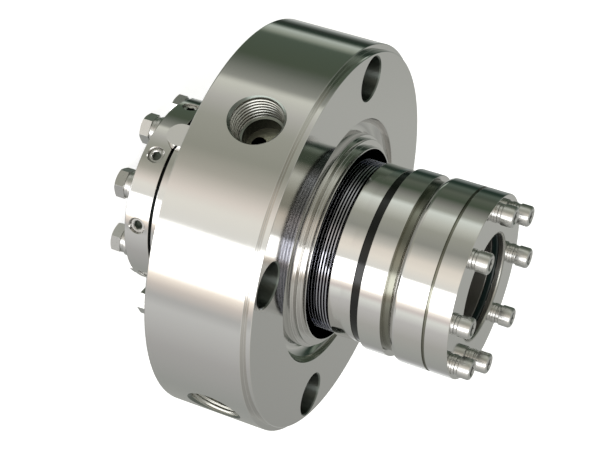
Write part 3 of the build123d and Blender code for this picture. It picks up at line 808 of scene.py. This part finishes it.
@dataclass
class Gland:
    """The drilled stationary disc, with its bowl, stepped nose, threaded ports and boss."""

    outer: float = 95.0
    back: float = -51.3
    rim_step: float = 3.45
    rim_width: float = 2.9
    bowl_edge: float = 60.0
    bowl_floor: float = -7.0
    bowl_foot: float = 54.0
    bowl_steps: int = 8
    spigot: tuple[float, float] = (52.2, -0.3)
    pilot: tuple[float, float] = (50.5, 2.2)
    nose: tuple[float, float] = (47.4, 4.94)
    chamber: tuple[float, float] = (46.6, -22.0)
    web_bore: tuple[float, float] = (34.0, -44.0)
    guide: tuple[float, float] = (39.3, -62.0)
    boss: tuple[float, float] = (45.8, -76.6)
    boss_bore: float = 43.4
    hole_chamfer: float = 0.6
    port_mouth: float = 13.4
    thread_mouth: float = 12.1
    thread_end: float = 10.7
    thread_length: float = 14.0
    thread_height: float = 0.45
    thread_pitch: float = 1.814
    rows_per_turn: int = 10
    port_bore: float = 9.4
    port_depth: float = 22.0
    passage: float = 3.5
    passage_drop: float = 3.5      # from the port's axis, towards the gland's back

    def outline(self) -> list[Stretch]:
        """The turned outline."""
        wall = self.bowl_edge - self.bowl_foot
        depth = -self.bowl_floor
        curve = []
        for step in range(self.bowl_steps + 1):
            angle = math.pi / 2 * step / self.bowl_steps
            curve.append((
                self.bowl_foot + wall * math.sin(angle), self.bowl_floor + depth * (1 - math.cos(angle)),
                0.25 if step == self.bowl_steps else 1.2,
            ))
        corners = [
            *curve,
            (self.outer - self.rim_width, 0, 0.35),
            (self.outer - self.rim_width, -self.rim_step, 0.2),
            (self.outer, -self.rim_step, 0.35),
            (self.outer, self.back, 0.8),
            (self.boss[0], self.back, 0.5),
            (self.boss[0], self.boss[1], 0.5),
            (self.boss_bore, self.boss[1], 0.3, 2),
            (self.boss_bore, self.guide[1], 0.1, 2),
            (self.guide[0], self.guide[1], 0.1, 2),
            (self.guide[0], self.web_bore[1], 0.1, 2),
            (self.web_bore[0], self.web_bore[1], 0.1, 2),
            (self.web_bore[0], self.chamber[1], 0.1, 2),
            (self.chamber[0], self.chamber[1], 0.1, 2),
            (self.chamber[0], self.nose[1] - 2.0, 0.05),
            (self.chamber[0], self.nose[1], 0.3),
            (self.nose[0], self.nose[1], 0.25),
            (self.nose[0], self.pilot[1], 0.25),
            (self.pilot[0], self.pilot[1], 0.35),
            (self.pilot[0], self.spigot[1], 0.2),
            (self.spigot[0], self.spigot[1], 0.3),
            (self.spigot[0], self.bowl_floor, 0.6),
        ]
        return eased(corners)

    def cutters(self) -> list[tuple[Mesh, Matrix]]:
        """The shapes that drill the stud holes and the ports."""
        pattern = mount("gland_bolts")["dims"]
        hole = pattern["hole_r_mm"]
        drill = stepped_mesh(SMALL_ROUND * 2, [
            (hole, self.back - 2), (hole, -self.hole_chamfer), (hole + self.hole_chamfer + 1, 1.0),
        ])
        stud_circle = pattern["pcd_mm"] / 2
        first = self.stud_angle()
        cuts = [(drill, place) for place in round_places(pattern["count"], stud_circle, first)]
        sink = self.port_mouth - self.thread_mouth
        bore = stepped_mesh(SMALL_ROUND * 2, [
            (self.port_bore, -self.port_depth), (self.port_bore, -self.thread_length - 0.6),
            (self.thread_end, -self.thread_length), (self.thread_mouth, -sink), (self.port_mouth + 3, 3.0),
        ])
        cuts += [(bore, place) for place in self.port_places()]
        return cuts

    def port_places(self) -> list[Matrix]:
        """Both ports' places on the rim, their own Z outward and their Y along the shaft."""
        return [outward_place(angle, self.outer, height)
                for angle, height in map(self.port_place, ("port_1", "port_2"))]

    def passages(self) -> list[tuple[Mesh, Matrix]]:
        """The small holes from the ports' floors into the seal."""
        length = self.outer - self.web_bore[0] + 2
        drill = prism_mesh(SMALL_ROUND, self.passage, -length, -self.port_depth + 1)
        drop = Matrix.Translation((0, -mm(self.passage_drop), 0))
        return [(drill, place @ drop) for place in self.port_places()]

    @staticmethod
    def stud_angle() -> float:
        """The angle of the first stud hole, from the openings that the record states."""
        openings = frame["record"]["physics"]["openings"]
        low, high = next(o for o in openings if o["name"] == "bolt_hole_1")["box_m"]
        return math.degrees(math.atan2(low[1] + high[1], low[0] + high[0]))

    @staticmethod
    def port_place(name: str) -> tuple[float, float]:
        """A port's angle about the shaft, and its height in millimetres."""
        x, y, z = mount(name)["pos_m"]
        return math.degrees(math.atan2(y, x)), z * 1000

    def threads(self) -> list[tuple[Mesh, Matrix]]:
        """The helical taper pipe threads of both ports."""
        bottom, top = -self.thread_length, self.thread_mouth - self.port_mouth
        rows = int((top - bottom) / self.thread_pitch * self.rows_per_turn)
        around = SMALL_ROUND * 2
        points = []
        for row in range(rows + 1):
            depth = bottom + (top - bottom) * row / rows
            root = self.thread_end + (self.thread_mouth - self.thread_end) * row / rows
            for k in range(around):
                angle = 2 * math.pi * k / around
                phase = (depth / self.thread_pitch - k / around) % 1.0
                crest = min(1.0, max(0.0, 1.6 * (1 - abs(2 * phase - 1)) - 0.3))
                run_out = min(1.0, (top - depth) / self.thread_pitch)
                r = root - 0.02 - self.thread_height * crest * run_out
                points.append((mm(r) * math.cos(angle), mm(r) * math.sin(angle), mm(depth)))
        faces = [(a, d, c, b) for a, b, c, d in quads(rows + 1, around)]
        mesh = smoothed(mesh_of(points, faces), 50)
        return [(mesh, place) for place in self.port_places()]

    def build(self) -> None:
        """Builds and places the gland and its threads."""
        outline = self.outline()
        body = turned_mesh(outline, ROUND + 64)
        for cuts in (self.cutters(), self.passages()):
            body = combined(body, joined(cuts), "DIFFERENCE")
        # Faces made by the cuts take zone 1, the darker drilled steel that paints the shade in the holes.
        shade_turned(body, outline, 1)
        around = self.port_bore + 0.5
        # The ports' deep bores under the threads take zone 2, near-black painted shade.
        paint(body, self.port_places(), around, -self.port_depth, -self.thread_length - 0.1, 2)
        paint(body, self.port_places(), around, -self.port_depth - 0.1, -self.port_depth + 0.1, 3)
        dress("gland", body, Finish.GLAND_STEEL, "gland",
              (Finish.DRILLED_SHADED_STEEL, Finish.SHADE_BLACK_STEEL, Finish.FLOOR_STEEL))
        put("port_threads", joined(self.threads()), Finish.THREAD_STEEL, "gland")


# --- The bellows and its face ---


@dataclass
class BellowsHead:
    """The floating inboard head: welded bellows, face holder and dark stationary face."""

    pitch: float = 1.46
    pairs: int = 7
    last_tip: float = 12.0
    tip: float = 41.4
    root: float = 33.2
    leaf: float = 0.14             # half a pair's thickness beside its weld
    bead: float = 0.3              # half the weld's width
    bead_depth: float = 0.2
    weld_foot: float = 0.35        # from the tip to where a pair's leaves part
    fold: float = 1.2              # the metal's width at the root
    hollow: float = 1.4            # from the tip to the bottom of a pair's inner gap
    fixed_end: float = 2.51
    travel: float = 2.0
    collar: float = 35.2
    holder: float = 42.26
    holder_rear: float = 13.7
    holder_front: float = 24.7
    taper: float = 0.17
    taper_length: float = 4.5
    face: float = 41.6
    face_bore: float = 33.0
    contact: float = 28.76

    def bellows_outline(self) -> list[Stretch]:
        """The leaves' outline, each pair closed by a round weld bead at its tip."""
        end = self.last_tip + self.pitch / 2
        start = end - self.pairs * self.pitch
        outer = [(self.root + self.fold, start, 0)]
        inner = [(self.root, start, 0)]
        for turn in range(self.pairs):
            root_z = start + turn * self.pitch
            tip_z = root_z + self.pitch / 2
            outer += [
                (self.tip - self.weld_foot, tip_z - self.leaf, 0.1),
                (self.tip - self.bead_depth, tip_z - self.bead, 0.1),
                (self.tip, tip_z - self.bead, 0.08),
                (self.tip, tip_z + self.bead, 0.08),
                (self.tip - self.bead_depth, tip_z + self.bead, 0.1),
                (self.tip - self.weld_foot, tip_z + self.leaf, 0.1),
                (self.root + self.fold, root_z + self.pitch, 0),
            ]
            inner += [(self.tip - self.hollow, tip_z, 0), (self.root, root_z + self.pitch, 0)]
        return eased([*outer, *reversed(inner)], 2)

    def build(self) -> None:
        """Builds and places the head's three pieces."""
        end = self.last_tip + self.pitch / 2
        leaves = dress("bellows", turned_mesh(self.bellows_outline()),
                       Finish.LEAF_STEEL, "inboard_head")
        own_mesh(leaves)
        holder = eased([
            (self.face_bore, end, 0.05),
            (self.collar, end, 0.05),
            (self.collar, self.holder_rear, 0.05),
            (self.holder, self.holder_rear, 0.25),
            (self.holder - self.taper, self.holder_rear + self.taper_length, 1.5),
            (self.holder - self.taper, self.holder_front, 0.3),
            (self.face_bore, self.holder_front, 0.1),
        ])
        dress("face_holder", turned_mesh(holder), Finish.BARREL_STEEL, "inboard_head")
        ring = eased([
            (self.face_bore, self.holder_front, 0.1),
            (self.face, self.holder_front, 0.15),
            (self.face, self.contact, 0.25),
            (self.face_bore, self.contact, 0.1),
        ])
        dress("stationary_face", turned_mesh(ring), Finish.CARBIDE,
              "inboard_head")


# --- The rotating barrel ---


@dataclass
class Barrel:
    """The rotating inboard end: ring holder, sleeve with its barrel body, end cover and packing."""

    sleeve: tuple[float, float] = (25.0, 29.0)
    sleeve_ends: tuple[float, float] = (-92.0, 66.5)
    holder: float = 43.85
    holder_front: float = 28.96
    pocket: tuple[float, float] = (38.55, 36.16)
    neck: tuple[float, float, float] = (41.0, 40.15, 43.4)
    foot: tuple[float, float] = (41.7, 45.8)
    outer: float = 44.4
    joint: float = 60.7
    joint_floor: float = 43.7
    cover_rear: float = 61.9
    end: float = 72.95
    end_bore: float = 25.5
    end_lip: float = 3.2
    push_fit: float = 0.05

    def build(self) -> None:
        """Builds and places the barrel's turned pieces."""
        on_sleeve = self.sleeve[1] + self.push_fit
        neck_r, neck_rear, neck_front = self.neck
        holder = eased([
            (self.pocket[0], self.holder_front, 0.15),
            (self.holder, self.holder_front, 0.3),
            (self.holder, neck_rear, 0.45),
            (on_sleeve, neck_rear, 0.1),
            (on_sleeve, self.pocket[1], 0.1),
            (self.pocket[0], self.pocket[1], 0.1),
        ])
        dress("ring_holder", turned_mesh(holder), Finish.BARREL_STEEL, "rotor")
        # Zone 1, the neck and the joint groove, takes the darker groove steel as painted shade; zone 2 takes
        # bored steel.
        sleeve = eased([
            (self.sleeve[0], self.sleeve_ends[0], 0.4),
            (self.sleeve[1], self.sleeve_ends[0], 0.3),
            (self.sleeve[1], neck_rear, 0.1),
            (neck_r, neck_rear, 0.1, 1),
            (neck_r, neck_front, 0.1, 1),
            (self.foot[0], neck_front, 0.08),
            (self.outer, self.foot[1], 2.3),
            (self.outer, self.joint, 0.15, 1),
            (self.joint_floor, self.joint, 0.1, 1),
            (self.joint_floor, self.cover_rear, 0.1),
            (self.sleeve[1], self.cover_rear, 0.1),
            (self.sleeve[1], self.sleeve_ends[1], 0.1, 2),
            (self.sleeve[0], self.sleeve_ends[1], 0.15, 2),
        ])
        dress("shaft_sleeve", turned_mesh(sleeve), Finish.BARREL_STEEL, "rotor",
              others=(Finish.SHADED_GROOVE_STEEL, Finish.BORE_STEEL))
        cover = eased([
            (on_sleeve, self.cover_rear, 0.1),
            (self.outer, self.cover_rear, 0.2),
            (self.outer, self.end, 0.45),
            (self.end_bore, self.end, 1.1, 1),
            (self.end_bore, self.end - self.end_lip, 0.3),
            (on_sleeve, self.end - self.end_lip, 0.1),
        ])
        dress("end_cover", turned_mesh(cover), Finish.BARREL_STEEL, "rotor",
              others=(Finish.BORE_STEEL,))
        packing = eased([
            (self.end_bore, self.sleeve_ends[1], 0.8),
            (self.sleeve[1], self.sleeve_ends[1], 0.5),
            (self.sleeve[1], self.end - self.end_lip, 0.5),
            (self.end_bore, self.end - self.end_lip, 1.2),
        ], 4)
        dress("shaft_packing", turned_mesh(packing), Finish.PACKING, "rotor")


# --- Screws, bolts and washers ---


@dataclass
class CapScrews:
    """Eight knurled socket cap screws, each on a plain and a split washer."""

    circle: float = 38.7
    count: int = 8
    first_deg: float = 23.6
    seat: float = 72.95
    shank: float = 3.0
    head: float = 5.0
    head_height: float = 6.0
    key: float = 5.0
    key_depth: float = 3.2
    flutes: int = 36
    flute: float = 0.08
    plain: tuple[float, float] = (4.8, 1.2)
    split: tuple[float, float] = (4.5, 1.6)
    grip: float = 23.0
    washer_gap: float = 0.3
    turn: float = 17.0             # degrees between one key's socket and the next, as screws end up

    def head_mesh(self) -> Mesh:
        """One knurled head with its hexagon socket and shank."""
        outline = [
            (self.shank, -self.grip), (self.shank, 0.0), (self.head - 0.35, 0.0), (self.head, 0.4),
            (self.head, self.head_height - 1.0), (self.head - 0.35, self.head_height - 0.35),
            (self.head - 0.9, self.head_height),
        ]
        blank = stepped_mesh(self.flutes * 2, outline, flute=self.flute, fluted=(3, 4))
        corner, top = self.key / KEY_CORNER, self.head_height
        sink = stepped_mesh(SINK_ROUND, [(corner - 0.5, top - 0.8), (corner + 0.5, top + 0.2)])
        key = prism_mesh(6, corner, top - self.key_depth, top + 1)
        head = combined(combined(blank, sink, "DIFFERENCE"), key, "DIFFERENCE")
        return smoothed(head, 28)

    def build(self) -> None:
        """Builds and places the screws and their washers."""
        def places(height: float) -> list[Matrix]:
            """The screws' places at a height."""
            return round_places(self.count, self.circle, self.first_deg, height)

        bore = self.shank + self.washer_gap
        radius, height = self.plain
        at = self.seat
        washer = ring_mesh((bore, radius), (0, height), (0.12, 0.25))
        dress_copies("cap_washers", washer, places(at))
        at += height
        radius, height = self.split
        lock = ring_mesh((bore, radius), (0, height), (0.4, 0.4), 3)
        dress_copies("cap_lock_washers", lock, places(at))
        at += height
        turned = [place @ Matrix.Rotation(math.radians(self.turn * i), 4, "Z")
                  for i, place in enumerate(places(at))]
        dress_copies("cap_screws", self.head_mesh(), turned)


@dataclass
class DriveCollar:
    """The outboard collar with its socket set screws and its hexagon bolts."""

    outer: float = 45.3
    bore: float = 29.05
    front: float = -78.2
    back: float = -91.0
    mid: float = -84.4
    screw_count: int = 8
    screw_deg: float = 22.5
    screw: float = 4.0
    screw_sink: float = 1.0
    key: float = 4.0
    key_depth: float = 3.0
    bolt_circle: float = 38.0
    bolt_count: int = 8
    bolt_flats: float = 13.0
    bolt_head: float = 5.3
    plain: tuple[float, float] = (7.2, 1.6)
    spring: tuple[float, float] = (6.4, 2.1)
    washer_bore: float = 4.3
    split: float = 1.2
    split_slant: float = 0.3       # radians

    def outline(self) -> list[Stretch]:
        """The collar's turned outline."""
        return eased([
            (self.bore, self.back, 0.3), (self.outer, self.back, 0.6),
            (self.outer, self.front, 0.5), (self.bore, self.front, 0.3),
        ])

    def set_screw(self) -> Mesh:
        """One cup-ended set screw, its outer end at z = 0."""
        length = self.outer - self.screw_sink - self.bore
        blank = stepped_mesh(SMALL_ROUND, [
            (self.screw - 0.8, -length), (self.screw, -length + 0.8),
            (self.screw, -0.7), (self.screw - 0.7, 0.0),
        ])
        corner = self.key / KEY_CORNER
        sink = stepped_mesh(SINK_ROUND, [(corner - 0.4, -0.7), (corner + 0.4, 0.1)])
        key = prism_mesh(6, corner, -self.key_depth, 1.0, 30)
        cut = combined(blank, sink, "DIFFERENCE")
        return smoothed(combined(cut, key, "DIFFERENCE"), 28)

    def bolt(self) -> Mesh:
        """One hexagon head, its washer face at z = 0 and its chamfered end below."""
        corner = self.bolt_flats / 2 / math.cos(math.pi / 6)
        hexagon = prism_mesh(6, corner, -self.bolt_head, 0.0, 11)
        chamfer = stepped_mesh(SMALL_ROUND * 2, [
            (self.bolt_flats / 2 - 0.5, -self.bolt_head - 0.001), (corner + 0.25, -self.bolt_head + 0.9),
            (corner + 0.25, 0.5),
        ])
        return softened(combined(hexagon, chamfer, "INTERSECT"), 0.18)

    def build(self) -> None:
        """Builds and places the collar, its screws and its bolts."""
        outline = self.outline()
        body = turned_mesh(outline)
        hole = stepped_mesh(SMALL_ROUND, [(self.screw + 0.05, -(self.outer - self.bore) - 2),
                                                        (self.screw + 0.05, -0.3), (self.screw + 1.3, 1.0)])
        screw_angles = [self.screw_deg + 360 * i / self.screw_count for i in range(self.screw_count)]
        holes = joined([(hole, outward_place(a, self.outer, self.mid)) for a in screw_angles])
        drilled = combined(body, holes, "DIFFERENCE")
        shade_turned(drilled, outline)
        dress("drive_collar", drilled, Finish.BARREL_STEEL, "rotor")
        screw = self.set_screw()
        places = [outward_place(a, self.outer - self.screw_sink, self.mid) @ Matrix.Rotation(a, 4, "Z")
                  for a in screw_angles]
        screws = joined([(screw, p) for p in places])
        # The sockets take zone 1, the darker drilled steel that paints the shade inside them.
        paint(screws, places, self.key / KEY_CORNER + 0.1, -3.5, -0.6, 1)
        dress("set_screws", screws, Finish.SCREW_STEEL, "rotor", (Finish.DRILLED_SHADED_STEEL,))
        self.build_bolts()

    def slit(self) -> Mesh:
        """The slanted box that splits a spring washer."""
        radius, height = self.spring
        mesh = bpy.data.meshes.new("slit")
        box = bmesh.new()
        bmesh.ops.create_cube(box, size=1.0)
        shape = Matrix.Diagonal((mm(radius), mm(self.split), mm(height * 2), 1))
        slant = Matrix.Rotation(self.split_slant, 4, "X")
        box.transform(Matrix.Translation((mm(-radius * 0.8), 0, 0)) @ slant @ shape)
        box.to_mesh(mesh)
        box.free()
        return mesh

    def build_bolts(self) -> None:
        """Builds and places the bolts with their plain and spring washers."""
        def places(height: float) -> list[Matrix]:
            """The bolts' places at a height."""
            return round_places(self.bolt_count, self.bolt_circle, 0, height)

        fine = SMALL_ROUND * 2
        at = self.back
        radius, height = self.plain
        washer = ring_mesh((self.washer_bore, radius), (-height, 0), (0.3, 0.1), segments=fine)
        dress_copies("bolt_washers", washer, places(at))
        at -= height
        radius, height = self.spring
        coil = ring_mesh((self.washer_bore, radius), (-height, 0), (0.25, 0.25),
                         segments=fine)
        split = smoothed(combined(coil, self.slit(), "DIFFERENCE"), 35)
        dress_copies("bolt_spring_washers", split, places(at))
        at -= height
        dress_copies("hex_bolts", self.bolt(), places(at))


@dataclass
class SettingClips:
    """Three round-ended clips on the boss."""

    count: int = 3
    first_deg: float = 233.5
    width: float = 12.6
    outboard: float = -82.5
    inboard: float = -53.0
    seat: float = 45.82
    top: float = 49.3
    steps: int = 16                # facets in each round end
    sunk: float = 3.0              # how deep the blank reaches before the boss's form is cut away

    def plate(self) -> Mesh:
        """One clip, its own Z outward and its Y along the shaft."""
        half = self.width / 2
        length = self.inboard - self.outboard
        outline = []
        for end in (1, -1):
            centre = end * (length / 2 - half)
            for k in range(self.steps + 1):
                angle = math.pi * k / self.steps
                outline.append((end * half * math.cos(angle), centre + end * half * math.sin(angle)))
        form = bmesh.new()
        low = [form.verts.new((mm(x), mm(y), mm(-self.sunk))) for x, y in outline]
        high = [form.verts.new((mm(x), mm(y), mm(self.top - self.seat))) for x, y in outline]
        form.faces.new(reversed(low))
        form.faces.new(high)
        for k in range(len(outline)):
            after = (k + 1) % len(outline)
            form.faces.new((low[k], low[after], high[after], high[k]))
        mesh = bpy.data.meshes.new("clip_blank")
        form.to_mesh(mesh)
        form.free()
        return mesh

    def build(self) -> None:
        """Builds and places the clips."""
        middle = (self.inboard + self.outboard) / 2
        boss = prism_mesh(ROUND, self.seat, self.outboard - 5, self.inboard + 5)
        places = [outward_place(self.first_deg + 360 * i / self.count, self.seat, middle)
                  for i in range(self.count)]
        blanks = joined([(self.plate(), p) for p in places])
        clips = softened(combined(blanks, boss, "DIFFERENCE"), 0.4, 3)
        dress("setting_clips", clips, Finish.BARREL_STEEL, "gland")


# --- Pieces that keep their own meshes ---

HIDDEN_FINISHES: dict[str, Finish] = {
    "rear_plug": Finish.SCREW_STEEL,
    "clip_screws": Finish.SCREW_STEEL,
    # Near-black painted shade, for a piece deep inside the seal.
    "inboard_adapter": Finish.SHADE_BLACK_STEEL,
    "adapter_pin": Finish.SCREW_STEEL,
    "adapter_o_ring": Finish.RUBBER,
    "lock_pins": Finish.SCREW_STEEL,
    "mating_ring": Finish.CARBIDE,
    "mating_o_ring": Finish.RUBBER,
    "drive_pins": Finish.SCREW_STEEL,
    # Near-black painted shade, seen only through the gap between the collar and the boss.
    "outboard_ring_carrier": Finish.SHADE_BLACK_STEEL,
    "outboard_rotating_ring": Finish.CARBIDE,
    "outboard_spring": Finish.SCREW_STEEL,
    "outboard_stationary_ring": Finish.CARBON,
    "stator_o_ring": Finish.RUBBER,
}


# --- Studio ---


@dataclass(frozen=True)
class Row:
    """One row of the soft upright panels round the seal, which turned steel shows as bands.

    Its colours stand at the compass angle of each panel's middle, and so do the strengths of the
    panels that are brighter than paper. It takes over from the row below between two heights.
    """

    colours: dict[int, str]
    bright: dict[int, float]
    starts: float = -1.0
    full: float = -1.0


LOW_ROW = Row({
    0: "#bab9b7", 35: "#a6a8a4", 66: "#a5a6a1", 77: "#8f8f85", 82: "#fafaf4", 88: "#d6d6d1", 97: "#c8cac5",
    105: "#b2b5b2", 111: "#727873", 117: "#2e352f", 124: "#2c3a31", 127: "#7c867c", 130: "#c0c9c0",
    136: "#a1a99b", 142: "#546053", 168: "#515b4c", 174: "#676d63", 188: "#9c9e96", 192: "#e2e3d8",
    205: "#c5c4be", 217: "#acada2", 237: "#a1a296", 249: "#bdbaaf", 262: "#f8efe6", 268: "#fffcf3",
    281: "#f8f7f1", 285: "#ffffff", 307: "#ffffff", 313: "#fff4e6", 319: "#e6dcd4", 326: "#c2c2c0",
    333: "#d6d6d4",
}, {285: 3.4, 307: 3.4, 313: 1.3})
MIDDLE_ROW = Row({
    0: "#b9b8b3", 24: "#aeb0ab", 46: "#a5a6a3", 57: "#bababa", 67: "#f1f3f1", 73: "#cfd1d0", 80: "#8e928d",
    92: "#767875", 103: "#929795", 110: "#747c78", 120: "#26362f", 127: "#2e3d34", 135: "#5a665c",
    145: "#4f584d", 152: "#60675b", 166: "#4e594a", 176: "#82837c", 188: "#acafa5", 194: "#ecf2ea",
    207: "#d1d3c9", 219: "#acada2", 238: "#9d9e96", 250: "#d2cfc6", 258: "#faf2e6", 268: "#fff8ec",
    281: "#f8f7f1", 285: "#ffffff", 306: "#ffffff", 312: "#fff8ee", 318: "#e6dcd8", 324: "#f6f8f2",
    336: "#d2d0ce",
}, {268: 1.05, 285: 3.4, 306: 3.4, 312: 1.35}, -0.325, -0.3)
HIGH_ROW = Row({
    0: "#bcbbb6", 44: "#a6a7a3", 60: "#b4b5b0", 76: "#a0a19d", 88: "#b8b9b4", 112: "#747b74",
    120: "#3a453d", 128: "#2c3a31", 136: "#7c877a", 150: "#505a4c", 170: "#4b5648", 184: "#999a8e",
    196: "#dddfd4", 225: "#a9a89a", 241: "#a1a093", 254: "#ebe1d3", 268: "#fff8ec", 281: "#f8f7f1",
    285: "#ffffff", 307: "#ffffff", 313: "#fff4e6", 319: "#d0c8be", 326: "#e0ded8",
}, {285: 3.4, 307: 3.4, 313: 1.2}, -0.1, 0.1)
CEILING = Row({0: "#b8b9b4"}, {}, 0.5, 0.9)


@dataclass
class Studio:
    """The pale floor, the surround that the metal mirrors, and the camera."""

    rows: tuple[Row, ...] = (LOW_ROW, MIDDLE_ROW, HIGH_ROW, CEILING)
    brightest: float = 3.5
    seam: float = 295.0
    floor_size: float = 6.0
    floor_glow: float = 0.8

    def build_world(self) -> None:
        """Lights the scene with a surround of soft upright panels under a plain ceiling."""
        world = bpy.data.worlds.new("studio")
        bpy.context.scene.world = world
        world.use_nodes = True
        tree = world.node_tree
        tree.nodes.clear()
        way = add_node(tree, "TexCoord").outputs["Generated"]
        turned = add_node(tree, "VectorRotate", {"rotation_type": "Z_AXIS"},
                          {"Vector": way, "Angle": math.radians(180 - self.seam)})
        parts = add_node(tree, "SeparateXYZ", None, {0: turned.outputs[0]})
        angle = add_node(tree, "Math", {"operation": "ARCTAN2"},
                         {0: parts.outputs[1], 1: parts.outputs[0]})
        share = add_node(tree, "MapRange", None,
                         {"Value": angle.outputs[0], "From Min": -math.pi, "From Max": math.pi})
        colour = None
        for row in self.rows:
            ramp = add_node(tree, "ValToRGB", None, {0: share.outputs[0]})
            self.fill_ramp(ramp.color_ramp, row)
            if colour is None:
                colour = ramp.outputs[0]
                continue
            height = add_node(tree, "MapRange", {"interpolation_type": "SMOOTHSTEP"},
                              {"Value": parts.outputs[2], "From Min": row.starts, "From Max": row.full})
            mix = add_node(tree, "Mix", {"data_type": "RGBA"},
                           {0: height.outputs[0], 6: colour, 7: ramp.outputs[0]})
            colour = mix.outputs[2]
        light = add_node(tree, "Background", None, {0: colour, 1: self.brightest})
        white = add_node(tree, "Background", None, {0: (1, 1, 1, 1), 1: 1.0})
        seen = add_node(tree, "LightPath").outputs["Is Camera Ray"]
        both = add_node(tree, "MixShader", None,
                        {0: seen, 1: light.outputs[0], 2: white.outputs[0]})
        add_node(tree, "OutputWorld", None, {0: both.outputs[0]})

    def fill_ramp(self, ramp: ColorRamp, row: Row) -> None:
        """Sets one row's colours round the compass.

        Args:
            ramp: the colour ramp, which runs once round from the seam.
            row: the row of panels.
        """
        stops = sorted(((azimuth - self.seam) % 360 / 360, linear(colour)[:3], row.bright.get(azimuth, 1.0))
                       for azimuth, colour in row.colours.items())
        while len(ramp.elements) > 1:
            ramp.elements.remove(ramp.elements[0])
        ramp.elements[0].position = stops[0][0]
        for position, _, _ in stops[1:]:
            ramp.elements.new(position)
        for element, (_, colour, strength) in zip(ramp.elements, stops):
            element.color = (*(c * strength / self.brightest for c in colour), 1.0)

    def build_floor(self, height: float) -> None:
        """Lays the plain pale floor.

        Args:
            height: the floor's height in metres.
        """
        half = self.floor_size / 2
        corners = [(x * half, y * half, height) for x, y in ((-1, -1), (1, -1), (1, 1), (-1, 1))]
        mesh = mesh_of(corners, [(0, 1, 2, 3)])
        floor = linked("floor", mesh)
        floor.visible_glossy = False
        shader = Shader("pale_paper")
        tree = shader.tree
        paper = add_node(tree, "BsdfDiffuse", None, {0: (0.82, 0.82, 0.82, 1)})
        glow = add_node(tree, "Emission", None, {0: (1, 1, 1, 1), 1: self.floor_glow})
        bright = add_node(tree, "AddShader", None, {0: paper.outputs[0], 1: glow.outputs[0]})
        seen = add_node(tree, "LightPath").outputs["Is Camera Ray"]
        both = add_node(tree, "MixShader", None,
                        {0: seen, 1: paper.outputs[0], 2: bright.outputs[0]})
        add_node(tree, "OutputMaterial", None, {0: both.outputs[0]})
        mesh.materials.append(shader.material)
        floor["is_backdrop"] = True

    def build_camera(self) -> None:
        """Sets the camera at its fixed place, looking at the seal."""
        lens = bpy.data.cameras.new("camera")
        lens.lens = 104.8
        lens.sensor_width = 36.0
        camera = linked("camera", lens)
        right = Vector((-0.26484, 0.35309, 0.89732))
        up = Vector((-0.95910, 0.0, -0.28307))
        back = Vector((-0.09995, -0.93559, 0.33865))
        turn = Matrix((right, up, back)).transposed().to_4x4()
        camera.matrix_world = Matrix.Translation((-0.08477, -0.77729, 0.25984)) @ turn
        bpy.context.scene.camera = camera

    def build(self, floor_height: float) -> None:
        """Builds the surround, the floor and the camera."""
        bpy.context.scene.view_settings.view_transform = "Standard"
        self.build_world()
        self.build_floor(floor_height)
        self.build_camera()


def main() -> None:
    """Builds the studio and every piece of the seal."""
    logging.basicConfig(level=logging.INFO, format="%(name)s: %(message)s")
    low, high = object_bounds()
    Studio().build(low[2])
    for assembly in (Gland(), BellowsHead(), Barrel(), CapScrews(), DriveCollar(), SettingClips()):
        assembly.build()
    for node, finish in HIDDEN_FINISHES.items():
        dress_node(node, finish)
    low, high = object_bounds()


if __name__ == "__main__":
    main()
